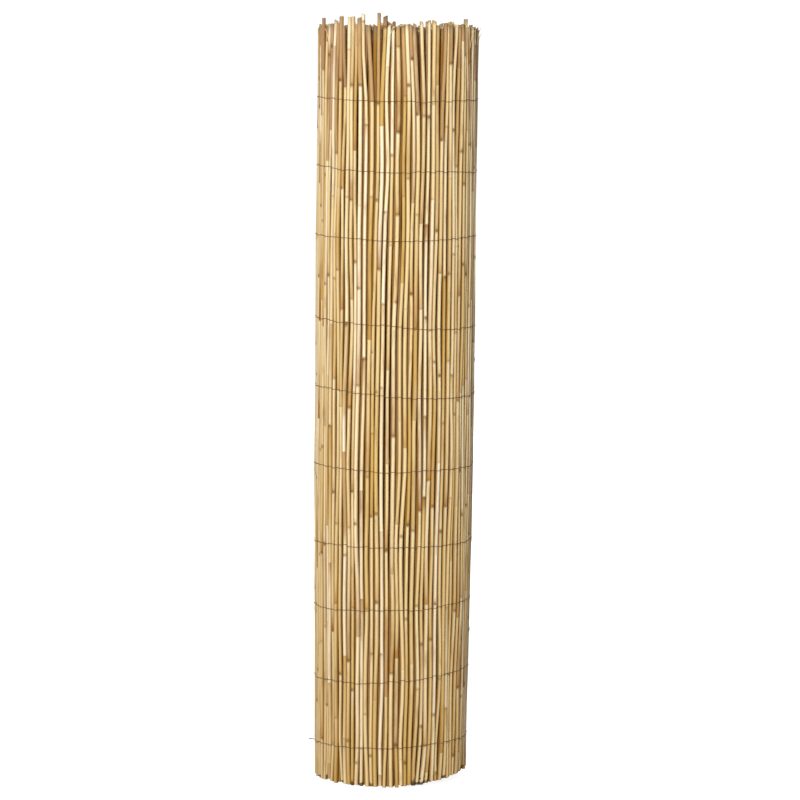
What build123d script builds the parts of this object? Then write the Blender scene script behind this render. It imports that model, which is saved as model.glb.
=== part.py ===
from build123d import *
from math import atan, cos, degrees, pi, radians, sin
import os

# A reed screen, rolled up and standing on its foot: one row of dried reeds, bound side by side
# with ten rows of wire and wound up on itself. Millimetres; the roll stands round Z, foot at Z = 0.

# The roll
screen_height = 1000.0      # foot to the longest tips
roll_diameter = 206.0       # across the crests of the outer turn
half_turns = 19             # from the free edge inwards to the open core
turn_gap = 1.6              # between the reeds of one turn and those of the next, for two wires

# The reeds
reed_diameter = 5.0         # a middling reed
reed_gap = 1.65             # between neighbours in the row
reed_flats = 12             # facets round a reed
thickness_pattern = (1.00, 0.88, 1.12, 0.95, 1.06, 0.90, 1.09)     # thick and thin reeds in turn
web_depth = 4.0             # crest of a middling reed down to the web that joins the outer row
web_skin = 0.4              # web left behind the thickest reed
crest_loss = 0.6            # smooth side of an inner turn, below the crests of its reeds
tip_spread = 16.0           # longest tips above the even part of the cut top
tip_pattern = (                                                    # quarters of tip_spread, from the free edge on
    0, 0, 1, 0, 0, 2, 0, 1, 0, 2, 0, 2, 0, 2, 3, 0, 3, 4, 0, 3, 2, 0, 0, 0,
    0, 0, 1, 0, 0, 1, 2, 0, 1, 0, 0, 0, 0, 0, 0, 2, 1, 0, 0, 1, 0, 0, 0,
)

# The binding wires, lowest row first
wire_thickness = 0.9
wire_clearance = 0.15       # off the crests of the thickest reeds
wire_runs = 15              # straight runs in half a turn, each over three or four reeds
wire_tail = 5.0             # cut end of the lowest wire, standing out at the free edge
lowest_wire = 51.0          # above the foot
highest_wire = 114.0        # below the longest tips
wire_strays = (0, -5, -6, -17, -10, -6, -9, 8, 4, 0)       # off even spacing
wire_rises = (12, 13, 8, 0, 0, -10, -8, -1, -5, -2)        # right side over left side

turn_pitch = reed_diameter + turn_gap
thickest_reed = reed_diameter * max(thickness_pattern)
row_radius = roll_diameter / 2 - thickest_reed / 2
even_height = screen_height - tip_spread


def half_turn(n):
    """Centre, radius of the reed row and first angle of half turn n, counted from the free edge."""
    front = n % 2 == 0
    centre = Vector(0 if front else turn_pitch / 2, turn_pitch / 4)
    return centre, row_radius - n * turn_pitch / 2, 180 if front else 0


def around(centre, radius, angle):
    return centre + Vector(radius, 0).rotate(Axis.Z, angle)


def mat_side(inset):
    """One side of the wound mat, a half circle for each half turn, from the free edge to the core."""
    arcs = []
    for n in range(half_turns):
        centre, radius, start = half_turn(n)
        arcs.append(CenterArc(centre, radius - inset(n), start, 180))
    return arcs


def outer_inset(n):
    """The web behind the reeds of the outer turn, or the smooth outer side of an inner turn."""
    return (web_depth if n < 2 else crest_loss) - reed_diameter / 2


def inner_inset(n):
    return thickest_reed / 2 + web_skin


# The reeds of the outer turn, two half turns: a place, a thickness and a tip for each
outer_reeds = []
for n in range(2):
    centre, radius, start = half_turn(n)
    count = int(pi * radius / (reed_diameter + reed_gap))
    sizes = [reed_diameter * thickness_pattern[i % len(thickness_pattern)] for i in range(count)]
    gap = (pi * radius - sum(sizes)) / count
    along = gap / 2
    for size in sizes:
        place = around(centre, radius, start + degrees((along + size / 2) / radius))
        tip = tip_spread / 4 * tip_pattern[len(outer_reeds) % len(tip_pattern)]
        outer_reeds.append((place, size, tip))
        along += size + gap

# The mat: a wound web, with the reeds of the outer turn standing out of it as ridges
with BuildPart() as reed_mat:
    with BuildSketch():
        with BuildLine():
            outer_side = mat_side(outer_inset)
            inner_side = mat_side(inner_inset)
            Line(outer_side[0] @ 0, inner_side[0] @ 0)
            Line(outer_side[1] @ 1, outer_side[2] @ 0)
            Line(outer_side[-1] @ 1, inner_side[-1] @ 1)
        make_face()
    extrude(amount=even_height)
    for lift in sorted({tip for place, size, tip in outer_reeds}):
        with BuildSketch():
            for place, size, tip in outer_reeds:
                if tip == lift:
                    with Locations(place):
                        RegularPolygon(size / 2, reed_flats)
        extrude(amount=even_height + lift)

os.makedirs("parts", exist_ok=True)
reed_mat.part.label = "reed_mat"
export_step(reed_mat.part, "parts/reed_mat.step")


def wire_side(distance, slope):
    """Corners of one side of a wire, whose straight runs clear the crests by a distance."""
    run_angle = 180 / wire_runs
    corners = []
    for n in range(2):
        centre, radius, start = half_turn(n)
        corner_radius = (radius + thickest_reed / 2 + distance) / cos(radians(run_angle / 2))
        for i in range(n, wire_runs + 1 - n):
            corner = around(centre, corner_radius, start + i * run_angle)
            corners.append((corner.X / cos(slope), corner.Y))
    return corners


# The wires: each runs once round the outer turn, from the free edge back to it
wire_spacing = (screen_height - highest_wire - lowest_wire) / (len(wire_strays) - 1)
for row, (stray, rise) in enumerate(zip(wire_strays, wire_rises)):
    name = f"binding_wire_{row + 1:02d}"
    slope = atan(rise / roll_diameter)
    level = Plane(
        origin=(0, 0, lowest_wire + row * wire_spacing + stray),
        x_dir=(cos(slope), 0, sin(slope)),
        z_dir=(-sin(slope), 0, cos(slope)),
    )
    near_side = wire_side(wire_clearance, slope)
    far_side = wire_side(wire_clearance + wire_thickness, slope)
    with BuildPart() as binding_wire:
        with BuildSketch(level):
            with BuildLine():
                Polyline(*near_side, *reversed(far_side), close=True)
            make_face()
            if row == 0:
                with Locations(near_side[0]):
                    Rectangle(wire_thickness + wire_tail, wire_thickness, align=(Align.MAX, Align.MAX))
        extrude(amount=wire_thickness / 2, both=True)
    binding_wire.part.label = name
    export_step(binding_wire.part, f"parts/{name}.step")
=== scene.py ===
from math import cos, pi, radians, sin, tau

import bpy
import numpy as np
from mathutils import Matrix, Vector


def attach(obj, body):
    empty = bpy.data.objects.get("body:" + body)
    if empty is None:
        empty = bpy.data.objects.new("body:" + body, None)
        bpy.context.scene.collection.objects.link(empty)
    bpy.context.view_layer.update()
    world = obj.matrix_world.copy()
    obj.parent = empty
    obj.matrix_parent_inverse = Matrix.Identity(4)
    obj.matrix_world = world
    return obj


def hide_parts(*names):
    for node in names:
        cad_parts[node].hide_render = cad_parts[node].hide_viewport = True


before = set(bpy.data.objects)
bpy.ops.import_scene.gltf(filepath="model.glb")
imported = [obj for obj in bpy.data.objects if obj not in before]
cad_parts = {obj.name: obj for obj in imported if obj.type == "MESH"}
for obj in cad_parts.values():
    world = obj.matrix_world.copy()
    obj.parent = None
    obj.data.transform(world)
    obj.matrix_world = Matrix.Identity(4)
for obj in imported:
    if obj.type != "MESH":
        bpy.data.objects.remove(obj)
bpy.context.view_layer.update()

# The outer turn: the reeds that show, hollow stems of common reed that were cut, dried and laid in one row.
# The row is rolled up by hand round an open core, tighter at the foot and a little askew, so that the foot
# rises to the right. The wires hold the stems in line, and the free tips above them stand ragged.
mm = 0.001
rng = np.random.default_rng(11)
mat_height = 984 * mm
mean_reed = 5.0 * mm
reed_gap = 1.65 * mm
turn_pitch = 6.6 * mm
crest_radius = 103 * mm
thickness_pattern = np.array((1.00, 0.88, 1.12, 0.95, 1.06, 0.90, 1.09))
row_radius = crest_radius - mean_reed * thickness_pattern.max() / 2
girth_heights = np.array((0, 60, 120, 250, 375, 500, 1000)) * mm
girth_shares = np.array((0.960, 0.963, 0.970, 0.989, 0.999, 1.006, 1.006))
foot_thickness = 1.06
thinning = 0.08
turn_slip = 0.38


def widening(z):
    """The roll's width at a height, as a share of its mean width."""
    return np.interp(z, girth_heights, girth_shares)


def reed_taper(z):
    """A stem is thicker at its foot than at its tip."""
    return foot_thickness - thinning * z / mat_height


def half_turn(n):
    """Centre, radius and first angle of half turn n, a half circle counted inwards from the free edge."""
    front = n % 2 == 0
    centre = np.array((0 if front else turn_pitch / 2, turn_pitch / 4))
    return centre, row_radius - n * turn_pitch / 2, pi if front else 0.0


def row_slip(n):
    """How far the row has slipped by half turn n, so that the gaps of the turns don't line up."""
    return (mean_reed + reed_gap) * (turn_slip * max(n - 2, 0) % 1)


def lay_half_turn(n, pattern):
    """The reeds of one half turn: centre, radius, angle and thickness of each, evenly closed up."""
    centre, radius, start = half_turn(n)
    count = int(pi * radius / (mean_reed + reed_gap))
    sizes = mean_reed * np.resize(pattern, count)
    gap = (pi * radius + row_slip(n + 1) - row_slip(n) - sizes.sum()) / count
    along = row_slip(n) + np.cumsum(sizes + gap) - (sizes + gap) / 2
    return [(centre, radius, start + s / radius, size) for s, size in zip(along, sizes)]


# How far the stems wander off their places: most at the free ends, least where the wires hold them
wire_heights = np.array((51, 139, 231, 312, 412, 509, 599, 709, 797, 886)) * mm
held_heights = np.concatenate(([0], wire_heights, [mat_height]))
foot_freedom = 0.6
stray_tails = 4
stray_scale = 1.4
stray_limit = 3.5
outward_share = 0.4
outward_limit = 1.5 * mm
pressed_pitch = 0.98
gap_heights = (0, wire_heights[0], wire_heights[-1], mat_height)
widest_gaps = np.array((5.0, 3.0, 3.0, 9.0)) * mm
settling_rounds = 120
stem_reach = 20 * mm


def smooth_along(rows, passes):
    """Rounds the bends of each row, ends kept."""
    for smoothing in range(passes):
        rows[:, 1:-1] = (rows[:, :-2] + 2 * rows[:, 1:-1] + rows[:, 2:]) / 4
    return rows


def lay_turn(reeds, levels, stray, free_stray):
    """Axes and radii of one turn's reeds at some heights, settled so that no two run into each other."""
    count = len(reeds)
    centre = np.array([reed[0] for reed in reeds])
    radius = np.array([reed[1] for reed in reeds])
    angle = np.array([reed[2] for reed in reeds])
    thickness = np.array([reed[3] for reed in reeds])
    spread = np.full(len(held_heights), stray)
    spread[0] = foot_freedom * free_stray
    spread[-1] = free_stray
    wild = rng.standard_t(stray_tails, (count, len(held_heights))) / stray_scale
    side = np.clip(wild, -stray_limit, stray_limit) * spread
    out = rng.normal(0, outward_share, (count, len(held_heights))) * np.minimum(spread, outward_limit)
    side = np.array([np.interp(levels, held_heights, row) for row in side])
    out = np.array([np.interp(levels, held_heights, row) for row in out])

    girth = thickness[:, None] * reed_taper(levels)[None, :]
    pitch = (thickness + reed_gap)[:, None] * widening(levels)[None, :]
    place = np.cumsum(pitch, axis=0) - pitch / 2
    row = place + side
    closest = pressed_pitch * (girth[1:] + girth[:-1]) / 2
    widest = np.interp(levels, gap_heights, widest_gaps)
    for settling in range(settling_rounds):
        lack = np.clip(closest - (row[1:] - row[:-1]), 0, None) / 2
        slack = np.clip(row[1:] - row[:-1] - closest - widest, 0, None) / 4
        row[1:] += lack - slack
        row[:-1] -= lack - slack
    shift = smooth_along(row - place, 2)
    out = smooth_along(out, 3)

    turned = angle[:, None] + shift / radius[:, None]
    reach = radius[:, None] * widening(levels)[None, :] + out
    x = centre[:, :1] * widening(levels) + reach * np.cos(turned)
    y = centre[:, 1:] * widening(levels) + reach * np.sin(turned)
    return np.stack((x, y), axis=2), girth / 2


# A stem has a knot every hand's breadth, each with a bud, a scar and what is left of its leaf sheath,
# the husk. It was cut at both ends, so its wall and its bore show there, the bore with painted shade that
# grows darker deeper in.
colour_rng = np.random.default_rng(4)
knot_spacing = 145 * mm
first_knot = (-1.0, -0.02)
last_knot = 1.05
knot_steps = (0.7, 1.35)
tip_down_share = 0.2
husks_from = 0.74
husks_over = 0.14
tone_spread = 0.75
tone_step = 0.26
tone_share = 0.88
foot_tone = 0.1
blush_lengths = (10, 85)
pale_length = 30 * mm
low_husks = 0.08
high_husks = 0.62
husk_strengths = (0.45, 1.0)
husk_lengths = (0.3, 1.1)
high_husk_gain = 0.2
whole_husk = 2.0
shade_by_chance = 0.6
shade_by_height = 0.4
husk_thickness = 0.2 * mm
husk_thinning = 0.6
husk_end = 0.15
largest_bud = 1.6
bud_height = 0.65 * mm
bud_length = 3.0 * mm
bud_lift = 1.5 * mm
bud_turn = 0.4
faint_scar = 0.3
scar_range = 0.6
narrow_scar = 1.1
scar_widening = 1.5
knot_swelling = 0.06
knot_width = 1.8 * mm
wall = 0.7 * mm
foot_bore = 9 * mm
tip_bore = 16 * mm
cut_slant = 1.8 * mm
cut_roughness = 0.25 * mm
# Painted shade on a stem's flanks: how far round from its outward side it reaches, more towards the foot,
# how broadly it gives way to the lit crest, and how far up and how much it lifts near the open tip.
open_end = 20 * mm
open_end_light = 0.6
crest_light = 0.6
painted_shade_reach_top = 0.18
painted_shade_reach_foot = 0.25
tip_wears = (0.1, 0.9)
tip_wear_lengths = (3, 14)
soiled_share = 0.3
soil_strengths = (0.7, 1.0)
faint_soil = 0.1
soil_lengths = (2, 8)
knot_rings = np.array((-4.0, -1.4, -0.5, 0.5, 1.6, 4.0)) * mm
foot_rings = np.array((3, 7)) * mm
tip_rings = np.array((5, 12)) * mm
open_end_rings = np.array((20, 45)) * mm
end_margin = 1.0 * mm
least_ring_step = 0.35 * mm


def stem_habit():
    """The knots of one stem, counted up from its root, and what grew at and above each."""
    upright = rng.random() > tip_down_share
    knots = [rng.uniform(*first_knot) * knot_spacing]
    while knots[-1] < last_knot * mat_height:
        knots.append(knots[-1] + knot_spacing * rng.uniform(*knot_steps))
    knots = np.array(knots)
    count = len(knots)
    high = np.clip((knots / mat_height - husks_from) / husks_over, 0, 1) if upright else np.zeros(count)
    habit = {"upright": upright, "knots": knots}
    stem_tone = 0.5 + tone_spread * (rng.random() - 0.5)
    habit["tone"] = stem_tone + colour_rng.normal(0, tone_step, count)
    habit["blush"] = rng.random(count) ** 1.7
    habit["blush_length"] = rng.uniform(*blush_lengths, count) * mm
    habit["pale"] = rng.random(count) ** 2
    husk_chance = low_husks + high_husks * high
    kept = rng.random(count) < husk_chance
    habit["husk"] = np.where(kept, rng.uniform(*husk_strengths, count), 0) + high_husk_gain * high
    habit["husk_length"] = np.where(high > 0.5, whole_husk, rng.uniform(*husk_lengths, count))
    habit["shade"] = shade_by_chance * rng.random(count) + shade_by_height * high
    habit["bud_side"] = rng.uniform(0, tau) + pi * np.arange(count) + rng.normal(0, bud_turn, count)
    habit["bud_size"] = largest_bud * rng.random(count) ** 1.3
    habit["band"] = rng.random(count) ** 1.6
    return habit


def ring_heights(foot, tip, knot_heights, ring_step, fine):
    """Heights of a stem's rings: even steps, with closer ones at the knots and ends of a fine stem."""
    z = np.arange(foot, tip, ring_step)
    if fine:
        z = np.concatenate((z, (knot_heights[:, None] + knot_rings[None, :]).ravel()))
        z = np.concatenate((z, foot + foot_rings, tip - tip_rings))
    z = np.concatenate((z, tip - open_end_rings))
    z = np.sort(z[(z > foot + end_margin) & (z < tip - end_margin)])
    z = z[np.concatenate(([True], np.diff(z) > least_ring_step))]
    return np.concatenate(([foot], z, [tip]))


def grow_reed(turn, levels, axis, radius, faces_out, foot, tip, sides, ring_step, fine):
    """Adds one closed stem to a turn's mesh, with what its material reads at each point."""
    habit = stem_habit()
    knots = habit["knots"]
    knot_heights = knots if habit["upright"] else mat_height - knots
    z = ring_heights(foot, tip, knot_heights, ring_step, fine)
    rings = len(z)

    # What shows at each ring, by its place between the knots
    grown = z if habit["upright"] else mat_height - z
    k = np.clip(np.searchsorted(knots, grown) - 1, 0, len(knots) - 2)
    above = np.clip(grown - knots[k], 0, None)
    below = np.clip(knots[k + 1] - grown, 0, None)
    rise = above / (above + below)
    tone = np.clip(tone_share * habit["tone"][k] + foot_tone * (0.5 - z / mat_height), 0, 1)
    blushed = habit["blush"][k] * np.exp(-((above / habit["blush_length"][k]) ** 1.3))
    paled = habit["pale"][k] * np.exp(-below / pale_length)
    clad = np.clip(habit["husk"][k], 0, 1) * np.clip((habit["husk_length"][k] - rise) / husk_end, 0, 1)
    apart = z[:, None] - knot_heights[None, :]
    nearest = np.min(np.abs(apart), axis=1)
    banded = habit["band"][np.argmin(np.abs(apart), axis=1)]

    # The scars of the knots, and painted shade on the sides of the stem that its neighbours hide from the
    # light, less near its open tip. A stem that is not fine gets this painted shade all round.
    around = tau * np.arange(sides) / sides + rng.uniform(0, tau)
    scar_width = (narrow_scar + scar_widening * banded) * mm
    scar_ring = (faint_scar + scar_range * banded) * np.exp(-((nearest / scar_width) ** 2))
    scar = np.repeat(scar_ring[:, None], sides, axis=1)
    painted_shade_reach = painted_shade_reach_top + painted_shade_reach_foot * (1 - z / mat_height)
    crest = np.cos(around - faces_out)[None, :] - painted_shade_reach[:, None]
    painted_crest_light = np.clip(crest / crest_light, 0, 1) if fine else 0
    painted_tip_light = np.clip(1.1 - (tip - z) / open_end, 0, 1)
    painted_light_share = np.maximum(painted_crest_light, np.repeat(open_end_light * painted_tip_light[:, None], sides, axis=1))

    # The rings: thicker at the knots and under the husk, with a bud at each knot of a fine stem
    girth = np.interp(z, levels, radius) * (1 + knot_swelling * np.exp(-((nearest / knot_width) ** 2)))
    girth = girth + husk_thickness * clad * (1 - husk_thinning * rise)
    ring_r = np.repeat(girth[:, None], sides, axis=1)
    if fine:
        lift = bud_lift if habit["upright"] else -bud_lift
        for knot, side, size in zip(knot_heights, habit["bud_side"], habit["bud_size"]):
            beside = np.clip(np.cos(around - side), 0, 1)[None, :] ** 4
            bud = np.exp(-(((z - knot - lift) / bud_length) ** 2))[:, None] * beside
            ring_r += bud_height * size * bud
            scar += size * bud
    centre_x = np.interp(z, levels, axis[:, 0])
    centre_y = np.interp(z, levels, axis[:, 1])
    ring_z = np.repeat(z[:, None], sides, axis=1)
    slant = rng.uniform(0, 1) * cut_slant
    ring_z[-1] += slant * np.cos(around - rng.uniform(0, tau)) + rng.normal(0, cut_roughness, sides)
    ring_z[0] += np.abs(rng.normal(0, cut_roughness, sides))

    def ring(i, bore, depth):
        """One loop of points round the stem, on its skin or in its bore, moved along the stem."""
        r = np.full(sides, girth[i] - wall) if bore else ring_r[i]
        x = centre_x[i] + r * np.cos(around)
        y = centre_y[i] + r * np.sin(around)
        return np.stack((x, y, ring_z[i] + depth), axis=1)

    loops = [ring(0, True, foot_bore), ring(0, True, 0)]
    loops += [ring(i, False, 0) for i in range(rings)]
    loops += [ring(-1, True, 0), ring(-1, True, -tip_bore)]

    def spread_out(values, foot_pair, tip_pair):
        """Values of the rings, one for each point, between those of the two loops in each bore."""
        rows = np.asarray(values, float)
        rows = rows if rows.ndim == 2 else np.repeat(rows[:, None], sides, axis=1)
        ends = [np.full((1, sides), end) for end in (*foot_pair, *tip_pair)]
        return np.concatenate((*ends[:2], rows, *ends[2:])).ravel()

    tip_wear = rng.uniform(*tip_wears)
    tip_wear = tip_wear * np.clip(1 - (tip - z) / (rng.uniform(*tip_wear_lengths) * mm), 0, 1)
    soiled = rng.uniform(*soil_strengths) if rng.random() < soiled_share else faint_soil
    foot_soil = soiled * np.clip(1.6 - (z - foot) / (rng.uniform(*soil_lengths) * mm), 0, 1)
    none = np.zeros(len(loops) * sides)
    turn["growth"].append(np.stack((
        spread_out(tone, [0.5, 0.5], [0.5, 0.5]),
        spread_out(blushed, [0, 0], [0, 0]),
        spread_out(np.clip(scar, 0, 1), [0, 0], [0, 0]),
        spread_out(paled, [0, 0], [0, 0]),
    ), axis=1))
    # The cut ends: 0.5 on their faces, rising to 1 deep in the bores, which the material paints dark as
    # shade
    turn["wear_and_bore_shade"].append(np.stack((
        spread_out(np.zeros(rings), [1, 0.5], [0.5, 1]),
        spread_out(habit["shade"][k], [0, 0], [0, 0]),
        spread_out(tip_wear, [0, 0], [0.3, 0.3]),
        spread_out(foot_soil, [0.4, 0.4], [0, 0]),
    ), axis=1))
    # The husk, and the painted shade of the hidden flanks, the inner turns and the bores
    turn["husk_and_painted_shade"].append(np.stack((
        spread_out(clad, [0, 0], [0, 0]),
        spread_out(1 - painted_light_share, [0.5, 0.5], [0.3, 0.3]),
        none,
        none,
    ), axis=1))

    index = turn["size"] + np.arange(len(loops) * sides).reshape(len(loops), sides)
    across = np.roll(index, -1, axis=1)
    quads = np.stack((index[:-1], across[:-1], across[1:], index[1:]), axis=2).reshape(-1, 4)
    turn["points"].append(np.concatenate(loops))
    turn["faces"].extend(quads.tolist())
    turn["faces"].append(index[0][::-1].tolist())
    turn["faces"].append(index[-1].tolist())
    turn["size"] += len(loops) * sides


# Dried reed: a hard, thin, silica-rich skin over straw, left as it was cut. It is satin, cream to straw
# yellow, palest just under a knot and browner above it, with a dark scar at each bud, brown husks near the
# top and fine fibres along the stem. A dull golden brown painted shade darkens its flanks where the
# neighbours hide them from the light, and the inner turns nearly all over.
def linear(hex_colour):
    """An sRGB hex colour as linear RGBA."""
    channels = [int(hex_colour[i:i + 2], 16) / 255 for i in (1, 3, 5)]
    return tuple(c / 12.92 if c <= 0.04045 else ((c + 0.055) / 1.055) ** 2.4 for c in channels) + (1.0,)


def add_node(tree, kind, inputs, stops=(), **options):
    """Adds a shader node with its options, and sets or links its inputs."""
    made = tree.nodes.new("ShaderNode" + kind)
    for option, value in options.items():
        setattr(made, option, value)
    for socket, value in inputs.items():
        if isinstance(value, bpy.types.NodeSocket):
            tree.links.new(value, made.inputs[socket])
        else:
            made.inputs[socket].default_value = value
    for place, colour in stops[2:]:
        made.color_ramp.elements.new(place)
    for i, (place, colour) in enumerate(stops):
        made.color_ramp.elements[i].position = place
        made.color_ramp.elements[i].color = linear(colour)
    return made


dried_reed = bpy.data.materials.new("dried_reed")
dried_reed.use_nodes = True
tree = dried_reed.node_tree
skin = tree.nodes["Principled BSDF"]
growth = add_node(tree, "Attribute", {}, attribute_name="growth")
grown = add_node(tree, "SeparateColor", {"Color": growth.outputs["Color"]})
wear_and_bore_shade = add_node(tree, "Attribute", {}, attribute_name="wear_and_bore_shade")
wear_and_bore_shade_parts = add_node(tree, "SeparateColor", {"Color": wear_and_bore_shade.outputs["Color"]})
husk_and_painted_shade = add_node(tree, "Attribute", {}, attribute_name="husk_and_painted_shade")
husk_and_painted_shade_parts = add_node(tree, "SeparateColor", {"Color": husk_and_painted_shade.outputs["Color"]})
place = add_node(tree, "TexCoord", {})

# Fibres drawn coarser than the real ones, so that they show, and stains of a finger's length
fibre_width = 0.9 * mm
fibre_length = 45 * mm
stain_width = 6 * mm
stain_length = 38 * mm
fibre_place = add_node(tree, "Mapping", {
    "Vector": place.outputs["Object"], "Scale": (1 / fibre_width, 1 / fibre_width, 1 / fibre_length),
})
fibres = add_node(tree, "TexNoise", {"Vector": fibre_place.outputs[0], "Scale": 1.0, "Detail": 3.0})
stain_place = add_node(tree, "Mapping", {
    "Vector": place.outputs["Object"], "Scale": (1 / stain_width, 1 / stain_width, 1 / stain_length),
})
stains = add_node(tree, "TexNoise", {"Vector": stain_place.outputs[0], "Scale": 1.0, "Detail": 4.0})

# The bare stem, paler under a knot and tanned above it
bare = add_node(tree, "ValToRGB", {"Fac": grown.outputs["Red"]}, stops=[
    (0.0, "#F9EAC9"), (0.2, "#F3DFB1"), (0.55, "#EBD29B"), (0.85, "#DFC283"), (1.0, "#CDA95F"),
])
pale_share = add_node(tree, "MapRange", {"Value": growth.outputs["Alpha"], "To Max": 0.75})
paled = add_node(tree, "Mix", {
    0: pale_share.outputs[0], 6: bare.outputs["Color"], 7: linear("#F7E8C1"),
}, data_type="RGBA")
tan = add_node(tree, "ValToRGB", {"Fac": wear_and_bore_shade_parts.outputs["Green"]}, stops=[
    (0.0, "#C09147"), (0.25, "#A97735"), (0.45, "#874A1A"), (0.6, "#98662F"), (1.0, "#A67A45"),
])
tan_edge = add_node(tree, "Math", {
    0: stains.outputs["Fac"], 1: grown.outputs["Green"],
}, operation="MULTIPLY")
tan_share = add_node(tree, "MapRange", {"Value": tan_edge.outputs[0], "From Max": 0.5})
tanned = add_node(tree, "Mix", {
    0: tan_share.outputs[0], 6: paled.outputs[2], 7: tan.outputs["Color"],
}, data_type="RGBA")

# The husk, with a frayed edge, and the scars, fibres and stains over it
husk_colour = add_node(tree, "ValToRGB", {"Fac": wear_and_bore_shade_parts.outputs["Green"]}, stops=[
    (0.0, "#D8BD8C"), (0.35, "#C9A870"), (0.6, "#B89263"), (0.8, "#A98769"), (1.0, "#987967"),
])
frayed = add_node(tree, "MapRange", {
    "Value": stains.outputs["Fac"], "From Min": 0.3, "From Max": 0.7, "To Min": -0.3, "To Max": 0.3,
})
husk_edge = add_node(tree, "Math", {0: husk_and_painted_shade_parts.outputs["Red"], 1: frayed.outputs[0]}, operation="ADD")
husk_share = add_node(tree, "MapRange", {
    "Value": husk_edge.outputs[0], "From Min": 0.2, "From Max": 0.8, "To Max": 0.9,
})
clad = add_node(tree, "Mix", {
    0: husk_share.outputs[0], 6: tanned.outputs[2], 7: husk_colour.outputs["Color"],
}, data_type="RGBA")
scar_share = add_node(tree, "MapRange", {"Value": grown.outputs["Blue"], "From Min": 0.1, "To Max": 0.85})
scarred = add_node(tree, "Mix", {
    0: scar_share.outputs[0], 6: clad.outputs[2], 7: linear("#633A18"),
}, data_type="RGBA")
fibre_share = add_node(tree, "MapRange", {
    "Value": fibres.outputs["Fac"], "From Min": 0.4, "From Max": 0.8, "To Max": 0.3,
})
fibred = add_node(tree, "Mix", {
    0: fibre_share.outputs[0], 6: scarred.outputs[2], 7: linear("#A67C3C"),
}, data_type="RGBA")
stain_share = add_node(tree, "MapRange", {
    "Value": stains.outputs["Fac"], "From Min": 0.56, "From Max": 0.8, "To Max": 0.55,
})
stained = add_node(tree, "Mix", {
    0: stain_share.outputs[0], 6: fibred.outputs[2], 7: linear("#92682F"),
}, data_type="RGBA")

# The painted shade on the hidden flanks and the inner turns, the grey tips, the soil at the foot, and the
# cut ends with their bores painted dark as shade
painted_shade_share = add_node(tree, "MapRange", {"Value": husk_and_painted_shade_parts.outputs["Green"], "To Max": 0.85})
painted_shade_mix = add_node(tree, "Mix", {
    0: painted_shade_share.outputs[0], 6: stained.outputs[2], 7: linear("#915F0C"),
}, data_type="RGBA")
weathered = add_node(tree, "Mix", {
    0: wear_and_bore_shade_parts.outputs["Blue"], 6: painted_shade_mix.outputs[2], 7: linear("#6F5F4B"),
}, data_type="RGBA")
soil_edge = add_node(tree, "Math", {0: wear_and_bore_shade.outputs["Alpha"], 1: stains.outputs["Fac"]}, operation="ADD")
soil_share = add_node(tree, "MapRange", {
    "Value": soil_edge.outputs[0], "From Min": 0.95, "From Max": 1.2, "To Max": 0.88,
})
soiled = add_node(tree, "Mix", {
    0: soil_share.outputs[0], 6: weathered.outputs[2], 7: linear("#33251A"),
}, data_type="RGBA")
# The cut faces, and painted shade that darkens the bores deeper in
cut_and_bore_shade_colour = add_node(tree, "ValToRGB", {"Fac": wear_and_bore_shade_parts.outputs["Red"]}, stops=[
    (0.4, "#E2CFA2"), (0.6, "#C8AB77"), (1.0, "#3E2815"),
])
cut_and_bore_shade_share = add_node(tree, "MapRange", {"Value": wear_and_bore_shade_parts.outputs["Red"], "From Min": 0.1, "From Max": 0.4})
reed_colour = add_node(tree, "Mix", {
    0: cut_and_bore_shade_share.outputs[0], 6: soiled.outputs[2], 7: cut_and_bore_shade_colour.outputs["Color"],
}, data_type="RGBA")
grain = add_node(tree, "Bump", {"Height": fibres.outputs["Fac"], "Strength": 0.25, "Distance": 0.1 * mm})
dull_share = add_node(tree, "Math", {
    0: husk_share.outputs[0], 1: painted_shade_share.outputs[0],
}, operation="MAXIMUM")
sheen = add_node(tree, "MapRange", {"Value": dull_share.outputs[0], "To Min": 0.48, "To Max": 0.95})
tree.links.new(reed_colour.outputs[2], skin.inputs["Base Color"])
tree.links.new(sheen.outputs[0], skin.inputs["Roughness"])
tree.links.new(grain.outputs[0], skin.inputs["Normal"])
skin.inputs["IOR"].default_value = 1.45
skin.inputs["Specular IOR Level"].default_value = 0.2

crisp_angle = radians(50)


def mesh_piece(name, points, faces, material, layers=()):
    """A smooth mesh object, with its cut edges kept crisp."""
    mesh = bpy.data.meshes.new(name)
    mesh.from_pydata(points.tolist(), [], faces)
    for layer, values in layers:
        attribute = mesh.attributes.new(layer, "FLOAT_COLOR", "POINT")
        attribute.data.foreach_set("color", values.astype(np.float32).ravel())
    mesh.polygons.foreach_set("use_smooth", [True] * len(mesh.polygons))
    mesh.set_sharp_from_angle(angle=crisp_angle)
    mesh.materials.append(material)
    piece = bpy.data.objects.new(name, mesh)
    bpy.context.scene.collection.objects.link(piece)
    return piece


def new_turn():
    """A turn's mesh before its first stem, with the three layers that the material reads."""
    return {"points": [], "faces": [], "growth": [], "wear_and_bore_shade": [], "husk_and_painted_shade": [], "size": 0}


def turn_piece(name, turn):
    """The grown stems of one turn as one mesh object."""
    layers = [(layer, np.concatenate(turn[layer])) for layer in ("growth", "wear_and_bore_shade", "husk_and_painted_shade")]
    return mesh_piece(name, np.concatenate(turn["points"]), turn["faces"], dried_reed, layers)


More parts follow.
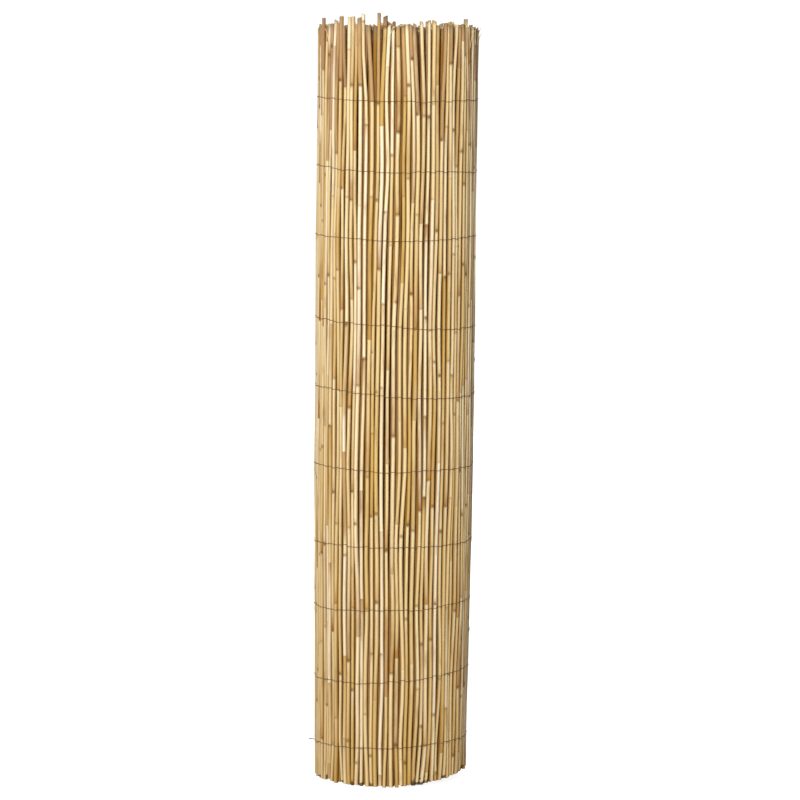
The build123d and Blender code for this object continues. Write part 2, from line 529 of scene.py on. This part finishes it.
# Feet and tips: the foot rises to the right, and the tips are lower at the sides and behind
foot_unevenness = 1.8 * mm
askew = 11 * mm
tip_unevenness = (-4, 3)
drop_back = 9 * mm
drop_sides = 5 * mm
tip_spread = 16 * mm
back_tips = 0.3
tip_quarters = np.array((
    0, 0, 1, 0, 0, 2, 0, 1, 0, 2, 0, 2, 0, 2, 3, 0, 3, 4, 0, 3, 2, 0, 0, 0,
    0, 0, 1, 0, 0, 1, 2, 0, 1, 0, 0, 0, 0, 0, 0, 2, 1, 0, 0, 1, 0, 0, 0,
))


def foot_rise(angle):
    """How high the foot stands off the floor on a side of the roll."""
    return askew * max(cos(angle), 0) ** 1.6


def tip_drop(angle):
    """How far the top falls on a side of the roll."""
    return drop_back * (sin(angle) + 1) / 2


outer_stray = 2.3 * mm
outer_free_stray = 6.2 * mm
outer_sides = 12
outer_ring_step = 27 * mm
outer_level_count = 68
outer_reeds = lay_half_turn(0, thickness_pattern) + lay_half_turn(1, thickness_pattern)
outer_levels = np.linspace(0, mat_height + stem_reach, outer_level_count)
outer_axes, outer_radii = lay_turn(outer_reeds, outer_levels, outer_stray, outer_free_stray)
outer_tips = []
outer_turn = new_turn()
for i, (centre, radius, angle, size) in enumerate(outer_reeds):
    foot = abs(rng.normal(0, foot_unevenness)) + foot_rise(angle)
    lift = tip_spread / 4 * tip_quarters[i % len(tip_quarters)] * (1 if sin(angle) < 0 else back_tips)
    tip = mat_height + lift + rng.uniform(*tip_unevenness) * mm - tip_drop(angle)
    tip -= drop_sides * abs(cos(angle)) ** 8
    outer_tips.append(tip)
    grow_reed(
        outer_turn, outer_levels, outer_axes[i], outer_radii[i], angle, foot, tip,
        outer_sides, outer_ring_step, True,
    )
piece = turn_piece("outer_reeds", outer_turn)
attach(piece, "root")
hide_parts("reed_mat")

# The inner turns: the rest of the same row of dried reeds, wound in by hand towards the open core and bound
# by the same wires. Only their cut ends show, and the second turn between the outer reeds. Their stems
# carry painted shade all round, less near their tips.
half_turns = 19
inner_stray = 0.6 * mm
inner_free_stray = 2.0 * mm
inner_foot_unevenness = 1.0 * mm
inner_tip_mean = -6
inner_tip_spread = 3
askew_turns = 6
inner_sides = 9
inner_ring_step = 60 * mm
inner_level_count = 24
for turn_number in range(1, (half_turns + 1) // 2):
    reeds = []
    for n in (2 * turn_number, 2 * turn_number + 1):
        if n < half_turns:
            reeds += lay_half_turn(n, rng.permutation(thickness_pattern))
    levels = np.linspace(0, mat_height + stem_reach, inner_level_count)
    axes, radii = lay_turn(reeds, levels, inner_stray, inner_free_stray)
    inner_turn = new_turn()
    for i, (centre, radius, angle, size) in enumerate(reeds):
        foot = abs(rng.normal(0, inner_foot_unevenness))
        foot += foot_rise(angle) * max(1 - turn_number / askew_turns, 0)
        tip = mat_height + rng.normal(inner_tip_mean, inner_tip_spread) * mm - tip_drop(angle)
        grow_reed(
            inner_turn, levels, axes[i], radii[i], angle, foot, tip, inner_sides, inner_ring_step, False
        )
    piece = turn_piece(f"inner_reeds_{turn_number}", inner_turn)
    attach(piece, "root")
    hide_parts("reed_mat")

# The binding wires: annealed iron wire, drawn tight over the crests and pulled in between the reeds, where
# it is twisted round the strand behind. It hooks round the last reed at the free edge. There the end of the
# lowest wire is bent double and stands out.
wire_radius = 0.42 * mm
wire_sides = 6
wire_rises = np.array((12, 13, 8, 0, 0, -10, -8, -1, -5, -2)) * mm
wire_fit = 1.02
wobble_step = 0.45 * mm
wobble_limit = 2.2 * mm
kink = 0.4 * mm
crest_angles = (-48, -16, 16, 48)
hook_angles = (-170, -130, -90)
tail_reaches = (7.5, 5.0, 2.5, 0.8)
tail_lifts = (0.2, 0.6, 0.6, 0.3)
tail_radius = 0.62 * mm
least_pull = 0.25
pull_play = 1.05

# Annealed iron wire: soft wire with a dull brown oxide skin, blotched with rust, hardly a metal to the eye
rust_spot = 6 * mm
iron_wire = bpy.data.materials.new("annealed_iron_wire")
iron_wire.use_nodes = True
tree = iron_wire.node_tree
metal = tree.nodes["Principled BSDF"]
place = add_node(tree, "TexCoord", {})
rust = add_node(tree, "TexNoise", {
    "Vector": place.outputs["Object"], "Scale": 1 / rust_spot, "Detail": 3.0,
})
rust_colour = add_node(tree, "ValToRGB", {"Fac": rust.outputs["Fac"]}, stops=[
    (0.3, "#4A3012"), (0.7, "#7C5826"),
])
tree.links.new(rust_colour.outputs["Color"], metal.inputs["Base Color"])
metal.inputs["Metallic"].default_value = 0.1
metal.inputs["Roughness"].default_value = 0.6


def wire_tube(path, radius, sides):
    """Points and faces of a closed round wire along a path, its radius given once or for each point."""
    ahead = np.gradient(path, axis=0)
    ahead /= np.linalg.norm(ahead, axis=1)[:, None]
    level = np.cross(ahead, (0, 0, 1))
    level /= np.linalg.norm(level, axis=1)[:, None]
    upright = np.cross(level, ahead)
    turn = tau * np.arange(sides) / sides
    rings = path[:, None, :] + np.broadcast_to(radius, len(path))[:, None, None] * (
        np.cos(turn)[None, :, None] * level[:, None, :] + np.sin(turn)[None, :, None] * upright[:, None, :]
    )
    index = np.arange(len(path) * sides).reshape(len(path), sides)
    across = np.roll(index, -1, axis=1)
    quads = np.stack((index[:-1], index[1:], across[1:], across[:-1]), axis=2).reshape(-1, 4)
    faces = quads.tolist() + [index[0].tolist(), index[-1][::-1].tolist()]
    return rings.reshape(-1, 3), faces


for row, (wire_height, rise) in enumerate(zip(wire_heights, wire_rises)):
    wobble = np.cumsum(rng.normal(0, wobble_step, len(outer_reeds)))
    wobble -= np.linspace(wobble[0], wobble[-1], len(wobble))
    wobble = np.clip(wobble, -wobble_limit, wobble_limit) + rng.normal(0, kink, len(outer_reeds))
    centres = []
    outward = []
    girths = []
    for i, reed in enumerate(outer_reeds):
        x = np.interp(wire_height, outer_levels, outer_axes[i, :, 0])
        y = np.interp(wire_height, outer_levels, outer_axes[i, :, 1])
        z = wire_height + rise * x / (2 * crest_radius) + wobble[i]
        away = np.array((x, y)) - reed[0]
        outward.append(np.append(away / np.linalg.norm(away), 0))
        centres.append(np.array((x, y, z)))
        girths.append(np.interp(wire_height, outer_levels, outer_radii[i]) * wire_fit + wire_radius)
    path = []
    for i, (centre, out, girth) in enumerate(zip(centres, outward, girths)):
        side = np.array((-out[1], out[0], 0))
        turns = crest_angles
        if i == 0 and row == 0:
            turns = crest_angles[2:]
            for reach, lift in zip(tail_reaches, tail_lifts):
                path.append(centre + (girth + reach * mm) * out + np.array((0, 0, lift * mm)))
        elif i == 0:
            turns = hook_angles + crest_angles
        for turn in turns:
            path.append(centre + girth * (cos(radians(turn)) * out + sin(radians(turn)) * side))
        if i + 1 < len(centres):
            half = np.linalg.norm(centres[i + 1] - centre) / 2
            reach = (girth + girths[i + 1]) / 2
            touch = np.sqrt(max(reach**2 - half**2, (least_pull * reach) ** 2))
            middle = (centre + centres[i + 1]) / 2
            path.append(middle + (out + outward[i + 1]) / 2 * touch * pull_play)
    path_radius = np.full(len(path), wire_radius)
    if row == 0:
        path_radius[:len(tail_reaches)] = tail_radius
    points, faces = wire_tube(np.array(path), path_radius, wire_sides)
    piece = mesh_piece(f"binding_wire_round_{row + 1:02d}", points, faces, iron_wire)
    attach(piece, "root")
    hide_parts(f"binding_wire_{row + 1:02d}")

# Frayed sheaths: torn strands of dried leaf sheath, still fast to a few reeds near the cut top, most of
# them at the right. They stand off the stems and curl. Each row gives the strand's reed, its reach sideways
# and outwards, and its length.
strand_radius = 0.38 * mm
strand_sides = 5
strand_rings = 9
strand_drop = (8, 16)
stand_off = 2.4 * mm
curl = 0.8 * mm
curl_waves = 5
strands = np.array((
    (40, 6, 3, 22), (42, -9, 3, 20), (44, -5, 5, 26), (45, 3, 4, 15), (33, -4, 2, 14), (21, 5, 2, 16),
    (7, -4, 3, 18), (54, 5, 3, 22), (63, -6, 4, 18), (70, 4, 2, 15), (78, -5, 3, 24), (86, 6, 3, 17),
))
strand_size = strand_rings * strand_sides
strand_points = []
strand_faces = []
for number, (i, sideways, outwards, length) in enumerate(strands):
    along = length * mm * np.linspace(-0.5, 0.5, strand_rings)
    z = outer_tips[i] - rng.uniform(*strand_drop) * mm + along
    grip = np.linspace(0, 1, strand_rings)[:, None]
    x = np.interp(z, outer_levels, outer_axes[i, :, 0])
    y = np.interp(z, outer_levels, outer_axes[i, :, 1])
    out = np.array((cos(outer_reeds[i][2]), sin(outer_reeds[i][2]), 0))
    side = np.array((-out[1], out[0], 0))
    path = np.stack((x, y, z), axis=1) + stand_off * out
    path = path + grip**2 * (sideways * side + outwards * out) * mm
    path = path + np.sin(grip * curl_waves + number) * grip * curl * side
    points, faces = wire_tube(path, strand_radius, strand_sides)
    strand_faces += [[corner + strand_size * number for corner in face] for face in faces]
    strand_points.append(points)
strand_count = strand_size * len(strands)
piece = mesh_piece("frayed_sheaths", np.concatenate(strand_points), strand_faces, dried_reed, [
    ("growth", np.tile((0.3, 0.0, 0.0, 0.3), (strand_count, 1))),
    ("wear_and_bore_shade", np.tile((0.0, 0.3, 0.1, 0.0), (strand_count, 1))),
    ("husk_and_painted_shade", np.tile((0.3, 0.0, 0.0, 0.0), (strand_count, 1))),
])
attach(piece, "root")
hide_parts("reed_mat")

# The floor: a plain sheet of studio paper that takes the roll's soft shadow. It shows white to the camera;
# its own colour is a light grey, so that it throws little light back on the foot.
floor_size = 60.0
floor_glow = 0.91
floor_corners = [(x * floor_size, y * floor_size, 0) for x, y in ((-1, -1), (1, -1), (1, 1), (-1, 1))]
floor_mesh = bpy.data.meshes.new("studio_floor")
floor_mesh.from_pydata(floor_corners, [], [(0, 1, 2, 3)])
floor = bpy.data.objects.new("studio_floor", floor_mesh)
bpy.context.scene.collection.objects.link(floor)


def background_rays(tree):
    """One for a ray that meets the background straight from the camera, in a mirror or through glass."""
    path = add_node(tree, "LightPath", {})
    mirrored = add_node(tree, "Math", {
        0: path.outputs["Is Glossy Ray"], 1: path.outputs["Is Transmission Ray"],
    })
    return add_node(tree, "Math", {0: path.outputs["Is Camera Ray"], 1: mirrored.outputs[0]}).outputs[0]


# White paper: matt and even, with no shine
white_paper = bpy.data.materials.new("white_paper")
white_paper.use_nodes = True
tree = white_paper.node_tree
matt = tree.nodes["Principled BSDF"]
matt.inputs["Base Color"].default_value = linear("#A4A4A4")
matt.inputs["Roughness"].default_value = 0.9
shown = add_node(tree, "MapRange", {"Value": background_rays(tree), "To Max": floor_glow})
glow = add_node(tree, "Emission", {"Color": (1, 1, 1, 1), "Strength": shown.outputs[0]})
lit_paper = add_node(tree, "AddShader", {0: matt.outputs[0], 1: glow.outputs[0]})
tree.links.new(lit_paper.outputs[0], tree.nodes["Material Output"].inputs["Surface"])
floor_mesh.materials.append(white_paper)

# The light: a white room that gives a little light from all sides, a key lamp from the left front, above
# the roll, and a broader, weaker one behind it.
room_light = 0.24
world = bpy.data.worlds.new("white_room")
bpy.context.scene.world = world
world.use_nodes = True
tree = world.node_tree
room = tree.nodes["Background"]
level = add_node(tree, "MapRange", {"Value": background_rays(tree), "To Min": room_light, "To Max": 1.0})
tree.links.new(level.outputs[0], room.inputs["Strength"])
room.inputs["Color"].default_value = (1, 1, 1, 1)
lamp_target = Vector((0, 0, 0.5))


def area_lamp(name, place, width, watts):
    """A square lamp that faces the middle of the roll."""
    lamp = bpy.data.lights.new(name, "AREA")
    lamp.shape = "SQUARE"
    lamp.size = width
    lamp.energy = watts
    stand = bpy.data.objects.new(name, lamp)
    stand.location = place
    stand.rotation_euler = (lamp_target - Vector(place)).to_track_quat("-Z", "Y").to_euler()
    bpy.context.scene.collection.objects.link(stand)


area_lamp("key_lamp", (-0.75, -3.85, 1.9), 1.0, 170)
area_lamp("back_lamp", (0.9, 3.7, 2.2), 1.6, 100)

# The camera: a long lens from 6.2 m, a little above the roll's top, turned slightly, so that the roll
# seems to lean to the right.
camera_lean = radians(0.66)
camera_place = Vector((0, -6.2, 1.2))
camera_aim = Vector((0.0075, 0, 0.4936))
camera_lens = bpy.data.cameras.new("camera")
camera_lens.sensor_width = 36
camera_lens.lens = 216
camera = bpy.data.objects.new("camera", camera_lens)
camera.location = camera_place
camera.rotation_euler = (camera_aim - camera_place).to_track_quat("-Z", "Y").to_matrix().to_euler()
camera.rotation_euler.rotate_axis("Z", camera_lean)
bpy.context.scene.collection.objects.link(camera)
bpy.context.scene.camera = camera
bpy.context.scene.view_settings.view_transform = "Standard"
